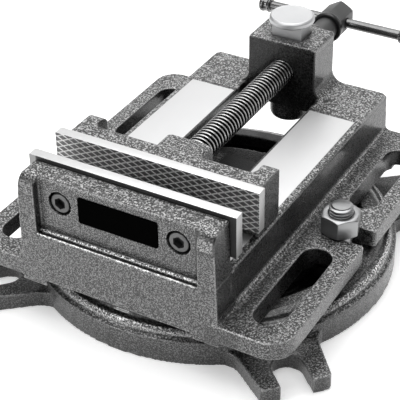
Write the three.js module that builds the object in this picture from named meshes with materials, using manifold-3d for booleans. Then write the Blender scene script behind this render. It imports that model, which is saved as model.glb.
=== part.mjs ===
// Machine vise on a swivel base, with a push-button half nut for quick release.
// Units are millimetres. +Z is up, +Y runs along the lead screw towards the handle,
// +X is to the right seen from the fixed jaw. The origin is on the swivel axis,
// in the plane that the base stands on.
import * as THREE from 'three';
import { mergeVertices } from 'three/addons/utils/BufferGeometryUtils.js';
import Module from 'manifold-3d';

const wasm = await Module();
wasm.setup();

// ---------------------------------------------------------------- driving dimensions
const GAP = 0.3;                 // space left between touching pieces
const PAST = 2;                  // how far a cutter runs past the face it opens

const JAW_WIDTH = 127;
const PLATE_THICK = 6.35;
const PLATE_HEIGHT = 25.4;
const PLATE_TOP = 96.8;
const JAW_OPENING = 18.3;
const JAW_CASTING_TOP = 94.4;

const BASE_RADIUS = 109;
const BASE_HEIGHT = 24;
const CLAMP_X = 81.4;            // clamp studs, also the middle of the T-slot
const CLAMP_Y = 2;
const CLAMP_RADIUS = 7;
const CLAMP_TOP = 55.7;
const CLAMP_NUT_RADIUS = 12.1;   // across the corners, halved
const CLAMP_NUT_HEIGHT = 12.3;
const BASE_TURN = 2.2;           // degrees that the base stands turned under the body
const LUG_REACH = 141;
const LUG_THICK = 10;
const LUG_SLOT_RADIUS = 9;
const LUG_SLOT_DEPTH = 14.6;     // from the lug's tip to the centre of the slot's round end
const LUG_ROOT_HALF = 24.5;
const LUG_TIP_HALF = 20;
const LUG_ROOT_REACH = 104;
const PIVOT_RADIUS = 18;
const PIVOT_BOTTOM = 17;
const T_SLOT_HALF = 7.6;
const T_GROOVE_HALF = 12;
const T_GROOVE_TOP = BASE_HEIGHT - 7.5;
const T_GROOVE_BOTTOM = 7.5;
const RECESS_INNER = 30;         // ring-shaped hollow under the base
const RECESS_OUTER = 66;
const RECESS_DEPTH = 3.5;

const FRONT_Y = -105.8;
const FIXED_FACE_Y = -88.8;      // casting face behind the fixed jaw plate
const REAR_Y = 115;
const FLANGE_HALF = 99.8;
const FLANGE_BOTTOM = 27.1;
const FLANGE_TOP = 38.2;
const WALL_OUTER = 60.2;
const WALL_INNER = 49;
const WAY_INNER = 25;
const WAY_OUTER = 56.3;
const WAY_TOP = 63;
const WAY_REAR_Y = 75.5;
const STRIP_TOP = 62.6;          // painted strip outside each way
const DECK_TOP = 63.5;           // painted cross-member behind the ways
const RAIL_BOTTOM = 53;

const SCREW_Z = 77;
const SCREW_RADIUS = 7.94;
const SHANK_RADIUS = 7.6;
const THREAD_END_Y = 128;
const HEAD_FRONT_Y = 157.2;
const HEAD_REAR_Y = 176;
const HEAD_RADIUS = 10;
const BAR_Y = 166;
const BAR_RADIUS = 3.25;
const BAR_END_X = 49;

const BLOCK_HALF = 22.7;
const BLOCK_FRONT_Y = 87;
const BLOCK_TOP = 97.5;
const NUT_Y = 101;
const NUT_HALF_X = 10;
const NUT_HALF_Y = 7;
const NUT_BOTTOM = 60.2;
const BUTTON_TRAVEL = 5;
const BUTTON_BOTTOM = 106;
const BUTTON_TOP = 110.5;
const BUTTON_RADIUS = 14;

const PLATE_SCREW_X = 36.5;
const PLATE_SCREW_Z = 80;

// ---------------------------------------------------------------- derived dimensions
const FOOT_BOTTOM = BASE_HEIGHT + GAP;
const PLATE_BOTTOM = PLATE_TOP - PLATE_HEIGHT;
const FIXED_PLATE_Y = FIXED_FACE_Y + GAP;
const MOVING_PLATE_Y = FIXED_PLATE_Y + PLATE_THICK + JAW_OPENING;
const MOVING_FACE_Y = MOVING_PLATE_Y + PLATE_THICK + GAP;
const SLIDE_BOTTOM = WAY_TOP + GAP;

// ---------------------------------------------------------------- materials
function finish(color, roughness, metalness) {
  return new THREE.MeshStandardMaterial({ color, roughness, metalness });
}
const hammertone = finish(0x6f6f72, 0.45, 0.2);
const groundSteel = finish(0xd9dadd, 0.3, 0.9);
const zincSteel = finish(0xc4c6ca, 0.35, 0.9);
const blackOxide = finish(0x26272a, 0.4, 0.7);
const darkSteel = finish(0x606266, 0.45, 0.7);
const blackPlate = finish(0x0c0c0d, 0.35, 0.1);

// ---------------------------------------------------------------- solids
function solid(geometry) {
  const bare = geometry.clone();
  bare.deleteAttribute('normal');
  bare.deleteAttribute('uv');
  const merged = mergeVertices(bare, 1e-4);
  const position = merged.getAttribute('position');
  const index = merged.index.array;
  const triangles = [];
  let volume = 0;
  const a = new THREE.Vector3();
  const b = new THREE.Vector3();
  const c = new THREE.Vector3();
  for (let i = 0; i < index.length; i += 3) {
    const [p, q, r] = [index[i], index[i + 1], index[i + 2]];
    if (p === q || q === r || r === p) continue;
    triangles.push(p, q, r);
    a.fromBufferAttribute(position, p);
    b.fromBufferAttribute(position, q);
    c.fromBufferAttribute(position, r);
    volume += a.dot(b.cross(c));
  }
  if (volume < 0) triangles.reverse();
  const mesh = new wasm.Mesh({
    numProp: 3,
    vertProperties: new Float32Array(position.array),
    triVerts: new Uint32Array(triangles),
  });
  return new wasm.Manifold(mesh);
}

function union(...solids) {
  return solids.reduce((sum, next) => sum.add(next));
}

function toMesh(name, manifold, material) {
  const data = manifold.getMesh();
  const geometry = new THREE.BufferGeometry();
  const points = new Float32Array(data.vertProperties);
  geometry.setAttribute('position', new THREE.BufferAttribute(points, 3));
  geometry.setIndex(new THREE.BufferAttribute(new Uint32Array(data.triVerts), 1));
  geometry.computeVertexNormals();
  const mesh = new THREE.Mesh(geometry, material);
  mesh.name = name;
  return mesh;
}

// A block between two corners.
function block([x0, y0, z0], [x1, y1, z1]) {
  const geometry = new THREE.BoxGeometry(x1 - x0, y1 - y0, z1 - z0);
  geometry.translate((x0 + x1) / 2, (y0 + y1) / 2, (z0 + z1) / 2);
  return solid(geometry);
}

// Turns extruded shapes so that their outline lies in the named plane.
const PLANES = {
  XY: new THREE.Matrix4(),
  XZ: new THREE.Matrix4().makeBasis(
    new THREE.Vector3(1, 0, 0), new THREE.Vector3(0, 0, 1), new THREE.Vector3(0, -1, 0)),
  YZ: new THREE.Matrix4().makeBasis(
    new THREE.Vector3(0, 1, 0), new THREE.Vector3(0, 0, 1), new THREE.Vector3(1, 0, 0)),
};

// Extrudes an outline in a plane from one level to another along the third axis.
function extrude(plane, shape, low, high, curveSegments = 10) {
  const geometry = new THREE.ExtrudeGeometry(
    shape, { depth: high - low, bevelEnabled: false, curveSegments });
  geometry.translate(0, 0, plane === 'XZ' ? -high : low);
  geometry.applyMatrix4(PLANES[plane]);
  return solid(geometry);
}

function polygon(points) {
  return new THREE.Shape(points.map(([x, y]) => new THREE.Vector2(x, y)));
}

// A polygon whose corners are rounded; each point is [x, y, radius].
function roundedPolygon(points) {
  const shape = new THREE.Shape();
  const corner = (i) => new THREE.Vector2(...points[(i + points.length) % points.length]);
  points.forEach(([x, y, radius = 0], i) => {
    const here = new THREE.Vector2(x, y);
    const back = corner(i - 1).sub(here).normalize();
    const ahead = corner(i + 1).sub(here).normalize();
    const half = Math.acos(THREE.MathUtils.clamp(back.dot(ahead), -1, 1)) / 2;
    const reach = radius / Math.tan(half);
    const enter = here.clone().addScaledVector(back, reach);
    const leave = here.clone().addScaledVector(ahead, reach);
    if (i === 0) shape.moveTo(enter.x, enter.y);
    else shape.lineTo(enter.x, enter.y);
    if (radius === 0) return;
    const middle = back.clone().add(ahead).normalize();
    const centre = here.clone().addScaledVector(middle, radius / Math.sin(half));
    const start = Math.atan2(enter.y - centre.y, enter.x - centre.x);
    const end = Math.atan2(leave.y - centre.y, leave.x - centre.x);
    const turn = back.x * ahead.y - back.y * ahead.x;
    shape.absarc(centre.x, centre.y, radius, start, end, turn > 0);
  });
  shape.closePath();
  return shape;
}

function rectangle(x0, y0, x1, y1, radius = 0) {
  return roundedPolygon([[x0, y0, radius], [x1, y0, radius], [x1, y1, radius], [x0, y1, radius]]);
}

// A stadium outline between two arc centres on a line parallel to the second axis.
function stadium(x, y0, y1, radius) {
  const shape = new THREE.Shape();
  shape.absarc(x, y1, radius, 0, Math.PI, false);
  shape.absarc(x, y0, radius, Math.PI, 2 * Math.PI, false);
  shape.closePath();
  return shape;
}

// Turns a closed [radius, height] profile about a line through a point, parallel to the named axis.
function turned(profile, axis, [x, y, z], segments = 24) {
  const points = profile.map(([r, h]) => new THREE.Vector2(r, h));
  const geometry = new THREE.LatheGeometry(points, segments);
  if (axis === 'Z') geometry.rotateX(Math.PI / 2);
  if (axis === 'X') geometry.rotateZ(-Math.PI / 2);
  geometry.translate(x, y, z);
  return solid(geometry);
}

function cylinder(axis, radius, low, high, [u, v], segments = 24) {
  const profile = [[0, low], [radius, low], [radius, high], [0, high]];
  const at = { X: [0, u, v], Y: [u, 0, v], Z: [u, v, 0] }[axis];
  return turned(profile, axis, at, segments);
}

// A hexagonal prism with its corners turned off at the ends named in `bevels`.
function hexagon(axis, radius, low, high, [u, v], bevels, firstAngle = 0) {
  const round = radius * 0.93;
  const drop = (radius - round) * 0.6;
  const shape = new THREE.Shape();
  for (let i = 0; i < 6; i += 1) {
    const angle = firstAngle + (i * Math.PI) / 3;
    const point = [radius * Math.cos(angle), radius * Math.sin(angle)];
    if (i === 0) shape.moveTo(...point);
    else shape.lineTo(...point);
  }
  shape.closePath();
  const plane = { Z: 'XY', Y: 'XZ' }[axis];
  const prism = extrude(plane, shape, low, high);
  const envelope = [[0, low]];
  if (bevels.includes('low')) envelope.push([round, low], [radius + drop, low + 2 * drop]);
  else envelope.push([radius + drop, low]);
  if (bevels.includes('high')) envelope.push([radius + drop, high - 2 * drop], [round, high]);
  else envelope.push([radius + drop, high]);
  envelope.push([0, high]);
  const trimmed = prism.intersect(turned(envelope, axis, [0, 0, 0], 36));
  return axis === 'Z' ? trimmed.translate([u, v, 0]) : trimmed.translate([u, 0, v]);
}

function mirrored(solidPart) {
  return union(solidPart, solidPart.mirror([1, 0, 0]));
}

// ---------------------------------------------------------------- swivel base
const BASE_RIM = [
  [0, 0], [BASE_RADIUS, 0], [BASE_RADIUS, 15.2], [BASE_RADIUS - 2.6, 15.8],
  [BASE_RADIUS - 3, 18.2], [BASE_RADIUS - 4.6, 20.2], [BASE_RADIUS - 7.6, 20.4],
  [BASE_RADIUS - 8.6, 22.2], [BASE_RADIUS - 12, BASE_HEIGHT], [0, BASE_HEIGHT],
];

const LUG_ANGLES = [45, 135, 225, 315];
const ENTRY_ANGLE = 135;         // where bolt heads drop into the T-slot

function lugOutline() {
  const cornerRadius = 3;
  const rootRadius = BASE_RADIUS - 11.2;
  const neck = LUG_ROOT_REACH + 10;
  const neckHalf = LUG_ROOT_HALF - 1.4;
  const flare = 17;
  const inside = BASE_RADIUS - 20;
  const slotCentre = LUG_REACH - LUG_SLOT_DEPTH;
  const shape = new THREE.Shape();
  shape.moveTo(inside, -LUG_ROOT_HALF - flare);
  shape.lineTo(rootRadius, -LUG_ROOT_HALF - flare);
  shape.quadraticCurveTo(LUG_ROOT_REACH, -LUG_ROOT_HALF, neck, -neckHalf);
  shape.lineTo(LUG_REACH - cornerRadius, -LUG_TIP_HALF);
  shape.quadraticCurveTo(LUG_REACH, -LUG_TIP_HALF, LUG_REACH, -LUG_TIP_HALF + cornerRadius);
  shape.lineTo(LUG_REACH, -LUG_SLOT_RADIUS);
  shape.lineTo(slotCentre, -LUG_SLOT_RADIUS);
  shape.absarc(slotCentre, 0, LUG_SLOT_RADIUS, -Math.PI / 2, Math.PI / 2, true);
  shape.lineTo(LUG_REACH, LUG_SLOT_RADIUS);
  shape.lineTo(LUG_REACH, LUG_TIP_HALF - cornerRadius);
  shape.quadraticCurveTo(LUG_REACH, LUG_TIP_HALF, LUG_REACH - cornerRadius, LUG_TIP_HALF);
  shape.lineTo(neck, neckHalf);
  shape.quadraticCurveTo(LUG_ROOT_REACH, LUG_ROOT_HALF, rootRadius, LUG_ROOT_HALF + flare);
  shape.lineTo(inside, LUG_ROOT_HALF + flare);
  shape.closePath();
  return shape;
}

function swivelBase() {
  const inner = CLAMP_X - T_SLOT_HALF;
  const outer = CLAMP_X + T_SLOT_HALF;
  const innerGroove = CLAMP_X - T_GROOVE_HALF;
  const outerGroove = CLAMP_X + T_GROOVE_HALF;
  const above = BASE_HEIGHT + PAST;
  const entryHalf = 11;
  const lug = extrude('XY', lugOutline(), 0, LUG_THICK, 8);
  const lugs = LUG_ANGLES.map((angle) => lug.rotate([0, 0, angle]));
  const tSlot = turned([
    [inner, above], [inner, T_GROOVE_TOP], [innerGroove, T_GROOVE_TOP],
    [innerGroove, T_GROOVE_BOTTOM], [outerGroove, T_GROOVE_BOTTOM],
    [outerGroove, T_GROOVE_TOP], [outer, T_GROOVE_TOP], [outer, above], [inner, above],
  ], 'Z', [0, 0, 0], 56);
  const entry = block([innerGroove, -entryHalf, T_GROOVE_BOTTOM], [outerGroove, entryHalf, above])
    .rotate([0, 0, ENTRY_ANGLE]);
  const pivotHole = cylinder('Z', PIVOT_RADIUS + GAP, PIVOT_BOTTOM - GAP, above, [0, 0], 32);
  const recess = turned([
    [RECESS_INNER, -PAST], [RECESS_OUTER, -PAST], [RECESS_OUTER, RECESS_DEPTH],
    [RECESS_INNER, RECESS_DEPTH], [RECESS_INNER, -PAST],
  ], 'Z', [0, 0, 0], 32);
  return union(turned(BASE_RIM, 'Z', [0, 0, 0], 72), ...lugs)
    .subtract(tSlot).subtract(entry).subtract(pivotHole).subtract(recess)
    .rotate([0, 0, BASE_TURN]);
}

// ---------------------------------------------------------------- body casting
function rail() {
  return extrude('XZ', polygon([
    [WALL_INNER, FOOT_BOTTOM], [75, FOOT_BOTTOM], [75, FLANGE_BOTTOM + 1],
    [75, FLANGE_TOP - 1], [63.6, FLANGE_TOP - 0.01], [61.6, FLANGE_TOP + 0.8],
    [61, FLANGE_TOP + 2.4], [WALL_OUTER, STRIP_TOP - 1.4], [WALL_OUTER - 0.5, STRIP_TOP - 0.4],
    [WALL_OUTER - 1.5, STRIP_TOP], [WAY_OUTER, STRIP_TOP], [WAY_OUTER, WAY_TOP],
    [WAY_INNER, WAY_TOP], [WAY_INNER, RAIL_BOTTOM], [WALL_INNER, RAIL_BOTTOM],
  ]), FIXED_FACE_Y - 1, REAR_Y);
}

const NOTCH_HALF = CLAMP_RADIUS + 0.6;
const NOTCH_LIP = 2.4;
const FLANGE_SLOTS = [           // hold-down slots: [middle x, radius, near y, far y]
  [80.7, 9, -92.5, -19.2],
  [81.2, 8.6, 27.3, 95.8],
];
const PAD_HALF = 17;             // raised foot under each clamp, half its length
const PAD_SETBACK = 8;

function notchOutline() {
  const mouth = NOTCH_HALF + NOTCH_LIP;
  const lipX = FLANGE_HALF - NOTCH_LIP;
  const notch = new THREE.Shape();
  notch.moveTo(FLANGE_HALF + PAST, CLAMP_Y - mouth);
  notch.lineTo(FLANGE_HALF, CLAMP_Y - mouth);
  notch.absarc(lipX, CLAMP_Y - mouth, NOTCH_LIP, 0, Math.PI / 2, false);
  notch.lineTo(CLAMP_X, CLAMP_Y - NOTCH_HALF);
  notch.absarc(CLAMP_X, CLAMP_Y, NOTCH_HALF, -Math.PI / 2, Math.PI / 2, true);
  notch.lineTo(lipX, CLAMP_Y + NOTCH_HALF);
  notch.absarc(lipX, CLAMP_Y + mouth, NOTCH_LIP, -Math.PI / 2, 0, false);
  notch.lineTo(FLANGE_HALF + PAST, CLAMP_Y + mouth);
  notch.closePath();
  return notch;
}

function flange() {
  const frontCorner = 14;
  const rearCorner = 13;
  const outline = roundedPolygon([
    [WALL_INNER, FRONT_Y], [FLANGE_HALF, FRONT_Y, frontCorner],
    [FLANGE_HALF, REAR_Y, rearCorner], [WALL_INNER, REAR_Y],
  ]);
  const pad = block([WALL_INNER, CLAMP_Y - PAD_HALF, FOOT_BOTTOM],
    [FLANGE_HALF - PAD_SETBACK, CLAMP_Y + PAD_HALF, FLANGE_BOTTOM + 1]);
  return union(extrude('XY', outline, FLANGE_BOTTOM, FLANGE_TOP, 8), pad);
}

function flangeCuts() {
  const low = FOOT_BOTTOM - PAST;
  const high = FLANGE_TOP + PAST;
  const slots = FLANGE_SLOTS.map(([x, radius, near, far]) => extrude(
    'XY', stadium(x, near + radius, far - radius, radius), low, high, 9));
  return union(extrude('XY', notchOutline(), low, high, 10), ...slots);
}

const JAW_BOTTOM_HALF = 62.2;
const JAW_TOP_HALF = 59.6;
const JAW_ROUND = 8;
const JAW_FOOT_REAR_Y = FIXED_FACE_Y + 3;

// The jaw's cross-section narrows upwards; its top front edge is rounded over.
function fixedJaw() {
  const edge = JAW_CASTING_TOP - JAW_ROUND;
  const outline = roundedPolygon([
    [-JAW_BOTTOM_HALF, FOOT_BOTTOM], [JAW_BOTTOM_HALF, FOOT_BOTTOM],
    [JAW_TOP_HALF, JAW_CASTING_TOP, 1.5], [-JAW_TOP_HALF, JAW_CASTING_TOP, 1.5],
  ]);
  const corner = new THREE.Shape();
  corner.moveTo(FRONT_Y - PAST, edge);
  corner.lineTo(FRONT_Y, edge);
  corner.absarc(FRONT_Y + JAW_ROUND, edge, JAW_ROUND, Math.PI, Math.PI / 2, true);
  corner.lineTo(FRONT_Y + JAW_ROUND, JAW_CASTING_TOP + PAST);
  corner.lineTo(FRONT_Y - PAST, JAW_CASTING_TOP + PAST);
  corner.closePath();
  const foot = extrude('XZ', polygon([
    [-JAW_BOTTOM_HALF, FOOT_BOTTOM], [JAW_BOTTOM_HALF, FOOT_BOTTOM],
    [WALL_OUTER + 0.8, STRIP_TOP], [-WALL_OUTER - 0.8, STRIP_TOP],
  ]), FIXED_FACE_Y - 1, JAW_FOOT_REAR_Y);
  const wide = JAW_BOTTOM_HALF + PAST;
  return extrude('XZ', outline, FRONT_Y, FIXED_FACE_Y, 5)
    .subtract(extrude('YZ', corner, -wide, wide, 8))
    .add(foot);
}

const POCKET_DEPTH = 5;
const PANEL_Y = FRONT_Y + POCKET_DEPTH;
const NAME_HALF = 24.3;
const NAME_LOW = 72.4;
const NAME_HIGH = 88.2;
const COUNTERBORE_RADIUS = 7.2;
const COUNTERBORE_DEPTH = 8.4;
const SCREW_HOLE_RADIUS = 4.3;
const POCKET_HALF = 50;
const LEDGE_Z = 59.4;
const LIP_THICK = 1.3;           // rim left standing in front of the ledge groove
const LEDGE_GROOVE = 2.5;
const PANEL_FOOT = 1.5;          // step left standing at the foot of the panel
const RELIEF_HALF = 46.5;        // hollow under the fixed jaw

// The cuts in the front of the fixed jaw: pocket, ledge groove, label seat, screw holes.
function fixedJawCuts() {
  const pocket = block([-POCKET_HALF, FRONT_Y - PAST, LEDGE_Z],
    [POCKET_HALF, PANEL_Y, JAW_CASTING_TOP + PAST]);
  const groove = block([-POCKET_HALF, FRONT_Y + LIP_THICK, LEDGE_Z - LEDGE_GROOVE],
    [POCKET_HALF, PANEL_Y - PANEL_FOOT, LEDGE_Z + 1]);
  const labelSeat = block([-NAME_HALF - GAP, PANEL_Y - 1, NAME_LOW - GAP],
    [NAME_HALF + GAP, PANEL_Y + 0.8, NAME_HIGH + GAP]);
  const relief = block([-RELIEF_HALF, FRONT_Y - PAST, FOOT_BOTTOM - PAST],
    [RELIEF_HALF, JAW_FOOT_REAR_Y + PAST, FLANGE_BOTTOM + 0.6]);
  const tunnelEnd = block([-WALL_INNER, FIXED_FACE_Y, FOOT_BOTTOM - PAST],
    [WALL_INNER, JAW_FOOT_REAR_Y + PAST, RAIL_BOTTOM]);
  const gapEnd = block([-WAY_INNER, FIXED_FACE_Y, FOOT_BOTTOM],
    [WAY_INNER, JAW_FOOT_REAR_Y + PAST, WAY_TOP + PAST]);
  const holes = [-PLATE_SCREW_X, PLATE_SCREW_X].map((x) => union(
    cylinder('Y', COUNTERBORE_RADIUS, PANEL_Y - 1, PANEL_Y + COUNTERBORE_DEPTH,
      [x, PLATE_SCREW_Z]),
    cylinder('Y', SCREW_HOLE_RADIUS, PANEL_Y, FIXED_FACE_Y + PAST, [x, PLATE_SCREW_Z])));
  return union(pocket, groove, labelSeat, relief, tunnelEnd, gapEnd, ...holes);
}

const BLOCK_FILLET = 8;
const SPRING_BOSS_RADIUS = 12.6;
const SPRING_BOSS_BOTTOM = 40.6;
const SCREW_BOSS_RADIUS = 12;
const SCREW_BOSS_REAR_Y = 134.4;

function screwBlock() {
  const wide = BLOCK_HALF + BLOCK_FILLET;
  const springing = DECK_TOP + BLOCK_FILLET;
  const outline = new THREE.Shape();
  outline.moveTo(-wide, DECK_TOP - 1);
  outline.lineTo(wide, DECK_TOP - 1);
  outline.lineTo(wide, DECK_TOP);
  outline.absarc(wide, springing, BLOCK_FILLET, -Math.PI / 2, -Math.PI, true);
  outline.lineTo(BLOCK_HALF, BLOCK_TOP - 1);
  outline.lineTo(BLOCK_HALF - 1, BLOCK_TOP);
  outline.lineTo(-BLOCK_HALF + 1, BLOCK_TOP);
  outline.lineTo(-BLOCK_HALF, BLOCK_TOP - 1);
  outline.lineTo(-BLOCK_HALF, springing);
  outline.absarc(-wide, springing, BLOCK_FILLET, 0, -Math.PI / 2, true);
  outline.closePath();
  const springBoss = turned([
    [0, SPRING_BOSS_BOTTOM], [SPRING_BOSS_RADIUS - 3, SPRING_BOSS_BOTTOM],
    [SPRING_BOSS_RADIUS - 0.9, SPRING_BOSS_BOTTOM + 0.9],
    [SPRING_BOSS_RADIUS, SPRING_BOSS_BOTTOM + 3], [SPRING_BOSS_RADIUS, RAIL_BOTTOM + 1],
    [0, RAIL_BOTTOM + 1],
  ], 'Z', [0, NUT_Y, 0], 32);
  const screwBoss = turned([
    [0, REAR_Y - 1], [SCREW_BOSS_RADIUS, REAR_Y - 1],
    [SCREW_BOSS_RADIUS, SCREW_BOSS_REAR_Y - 1], [SCREW_BOSS_RADIUS - 1, SCREW_BOSS_REAR_Y],
    [0, SCREW_BOSS_REAR_Y],
  ], 'Y', [0, 0, SCREW_Z], 36);
  return union(
    extrude('XZ', outline, BLOCK_FRONT_Y, REAR_Y, 8), springBoss, screwBoss);
}

const NUT_ROOM = 0.4;
const SCREW_ROOM = 0.56;
const SPRING_POCKET_RADIUS = 6;
const SPRING_POCKET_FLOOR = 44.5;

function screwBlockCuts() {
  const nutFloor = NUT_BOTTOM - BUTTON_TRAVEL - NUT_ROOM;
  const nutWell = block(
    [-NUT_HALF_X - NUT_ROOM, NUT_Y - NUT_HALF_Y - NUT_ROOM, nutFloor],
    [NUT_HALF_X + NUT_ROOM, NUT_Y + NUT_HALF_Y + NUT_ROOM, BLOCK_TOP + PAST]);
  const springPocket = cylinder(
    'Z', SPRING_POCKET_RADIUS, SPRING_POCKET_FLOOR, nutFloor + 1, [0, NUT_Y], 28);
  const screwBore = cylinder(
    'Y', SCREW_RADIUS + SCREW_ROOM, BLOCK_FRONT_Y - PAST, SCREW_BOSS_REAR_Y + PAST,
    [0, SCREW_Z], 36);
  return union(nutWell, springPocket, screwBore);
}

const GAP_END_Y = BLOCK_FRONT_Y; // the opening between the rails ends flush with the block
const WEB_HALF_Y = 22;           // cross web that carries the pivot
const WEB_TOP = 36;
const PIVOT_PAD_RADIUS = 25;

function bodyCasting() {
  const side = mirrored(union(rail(), flange()));
  const edge = WALL_OUTER - 0.2;
  const deck = extrude('XY', roundedPolygon([
    [-edge, WAY_REAR_Y], [-WAY_INNER, WAY_REAR_Y], [-WAY_INNER, GAP_END_Y, 2],
    [WAY_INNER, GAP_END_Y, 2], [WAY_INNER, WAY_REAR_Y], [edge, WAY_REAR_Y],
    [edge, REAR_Y, 4], [-edge, REAR_Y, 4],
  ]), RAIL_BOTTOM, DECK_TOP, 6);
  const padTop = FLANGE_BOTTOM + 1;
  const web = union(
    block([-WALL_INNER - 1, -WEB_HALF_Y, FLANGE_BOTTOM + 0.2],
      [WALL_INNER + 1, WEB_HALF_Y, WEB_TOP]),
    cylinder('Z', PIVOT_PAD_RADIUS, FOOT_BOTTOM, padTop, [0, 0], 32),
    cylinder('Z', PIVOT_RADIUS, PIVOT_BOTTOM, padTop, [0, 0], 32));
  return union(side, fixedJaw(), deck, web, screwBlock())
    .subtract(mirrored(flangeCuts())).subtract(fixedJawCuts()).subtract(screwBlockCuts());
}

// ---------------------------------------------------------------- jaw plates and screws
function jawPlate(backY, direction) {
  const frontY = backY + direction * PLATE_THICK;
  const low = Math.min(backY, frontY);
  const outline = rectangle(
    -JAW_WIDTH / 2, PLATE_BOTTOM, JAW_WIDTH / 2, PLATE_TOP, 0.4);
  const plate = extrude('XZ', outline, low, low + PLATE_THICK, 2);
  const tapped = [-PLATE_SCREW_X, PLATE_SCREW_X].map((x) => {
    const ends = [backY - direction * PAST, backY + direction * 5];
    return cylinder('Y', SCREW_HOLE_RADIUS, Math.min(...ends), Math.max(...ends),
      [x, PLATE_SCREW_Z], 24);
  });
  return plate.subtract(union(...tapped));
}

const CAP_HEAD_RADIUS = 5.95;
const CAP_HEAD_HEIGHT = 7.9;
const CAP_SHANK_RADIUS = 3.97;
const SOCKET_RADIUS = 3.67;
const SOCKET_DEPTH = 4;

// A socket head cap screw on a line along Y: the head's face is at headY, and
// direction says which way the shank points.
function socketScrew(x, z, headY, direction, shankEndY) {
  const place = (profile) => turned(
    profile.map(([r, along]) => [r, headY + direction * along]), 'Y', [x, 0, z], 20);
  const length = Math.abs(shankEndY - headY);
  const body = place([
    [0, 0], [CAP_HEAD_RADIUS - 0.8, 0], [CAP_HEAD_RADIUS, 0.8],
    [CAP_HEAD_RADIUS, CAP_HEAD_HEIGHT], [CAP_SHANK_RADIUS, CAP_HEAD_HEIGHT],
    [CAP_SHANK_RADIUS, length - 0.6], [CAP_SHANK_RADIUS - 0.6, length], [0, length],
  ]);
  const socket = new THREE.Shape();
  for (let i = 0; i < 6; i += 1) {
    const angle = Math.PI / 6 + (i * Math.PI) / 3;
    const point = [x + SOCKET_RADIUS * Math.cos(angle), z + SOCKET_RADIUS * Math.sin(angle)];
    if (i === 0) socket.moveTo(...point);
    else socket.lineTo(...point);
  }
  socket.closePath();
  const ends = [headY - direction * PAST, headY + direction * SOCKET_DEPTH];
  return body.subtract(extrude('XZ', socket, Math.min(...ends), Math.max(...ends)));
}

function namePlate() {
  return extrude('XZ', rectangle(-NAME_HALF, NAME_LOW, NAME_HALF, NAME_HIGH, 1),
    PANEL_Y - 0.7, PANEL_Y + 0.5, 4);
}

// ---------------------------------------------------------------- moving jaw
const JAW_HALF = 59.5;
const EAR_WIDTH = 9;
const BOSS_HALF = 15;
const SLAB_REAR_Y = -44.5;
const EAR_REAR_Y = -30;
const BOSS_REAR_Y = -26;
const BOSS_TOP = 90;
const TONGUE_HALF = WAY_INNER - 0.4;
const TONGUE_FRONT_Y = -54;
const TONGUE_REAR_Y = -22;
const KEEPER_BOLT_X = 16;
const KEEPER_BOLT_Y = -38;
const JOURNAL_RADIUS = 5.5;
const JOURNAL_FRONT_Y = -49.5;
const KEEPER_BOLT_TOP = 61;
const PIN_X = 6.4;
const PIN_Y = -36;
const PIN_RADIUS = 2.4;
const PIN_LOW = 56;              // the pins are pushed in from below
const PIN_HIGH = 84;

function movingJaw() {
  const inside = JAW_HALF - EAR_WIDTH;
  const plan = roundedPolygon([
    [-JAW_HALF, MOVING_FACE_Y], [JAW_HALF, MOVING_FACE_Y],
    [JAW_HALF, EAR_REAR_Y, 4], [inside, EAR_REAR_Y, 2],
    [inside, SLAB_REAR_Y, 4], [-inside, SLAB_REAR_Y, 4],
    [-inside, EAR_REAR_Y, 2], [-JAW_HALF, EAR_REAR_Y, 4],
  ]);
  const roundY = EAR_REAR_Y - JAW_ROUND;
  const roundZ = JAW_CASTING_TOP - JAW_ROUND;
  const earTop = new THREE.Shape();
  earTop.moveTo(roundY, JAW_CASTING_TOP + PAST);
  earTop.lineTo(roundY, JAW_CASTING_TOP);
  earTop.absarc(roundY, roundZ, JAW_ROUND, Math.PI / 2, 0, true);
  earTop.lineTo(EAR_REAR_Y + PAST, roundZ);
  earTop.lineTo(EAR_REAR_Y + PAST, JAW_CASTING_TOP + PAST);
  earTop.closePath();
  const slab = extrude('XY', plan, SLIDE_BOTTOM, JAW_CASTING_TOP, 5)
    .subtract(extrude('YZ', earTop, -JAW_HALF - PAST, JAW_HALF + PAST, 6));
  const boss = extrude('XZ', roundedPolygon([
    [-BOSS_HALF, SLIDE_BOTTOM], [BOSS_HALF, SLIDE_BOTTOM],
    [BOSS_HALF, BOSS_TOP, 4], [-BOSS_HALF, BOSS_TOP, 4],
  ]), SLAB_REAR_Y - 1, BOSS_REAR_Y, 5);
  const tongue = block([-TONGUE_HALF, TONGUE_FRONT_Y, RAIL_BOTTOM - 0.1],
    [TONGUE_HALF, TONGUE_REAR_Y, SLIDE_BOTTOM + 4]);
  const journal = cylinder(
    'Y', JOURNAL_RADIUS + GAP, JOURNAL_FRONT_Y - 0.5, TONGUE_REAR_Y + PAST, [0, SCREW_Z], 28);
  const pins = [-PIN_X, PIN_X].map((x) => cylinder(
    'Z', PIN_RADIUS + GAP, RAIL_BOTTOM - PAST, PIN_HIGH + GAP, [x, PIN_Y], 20));
  const bolts = [-KEEPER_BOLT_X, KEEPER_BOLT_X].map((x) => cylinder(
    'Z', SCREW_HOLE_RADIUS, RAIL_BOTTOM - PAST, KEEPER_BOLT_TOP + 1,
    [x, KEEPER_BOLT_Y], 24));
  const screws = [-PLATE_SCREW_X, PLATE_SCREW_X].map((x) => union(
    cylinder('Y', COUNTERBORE_RADIUS, SLAB_REAR_Y - COUNTERBORE_DEPTH, SLAB_REAR_Y + PAST,
      [x, PLATE_SCREW_Z]),
    cylinder('Y', SCREW_HOLE_RADIUS, MOVING_FACE_Y - PAST, SLAB_REAR_Y, [x, PLATE_SCREW_Z])));
  return union(slab, boss, tongue)
    .subtract(union(journal, ...pins, ...bolts, ...screws));
}

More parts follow.
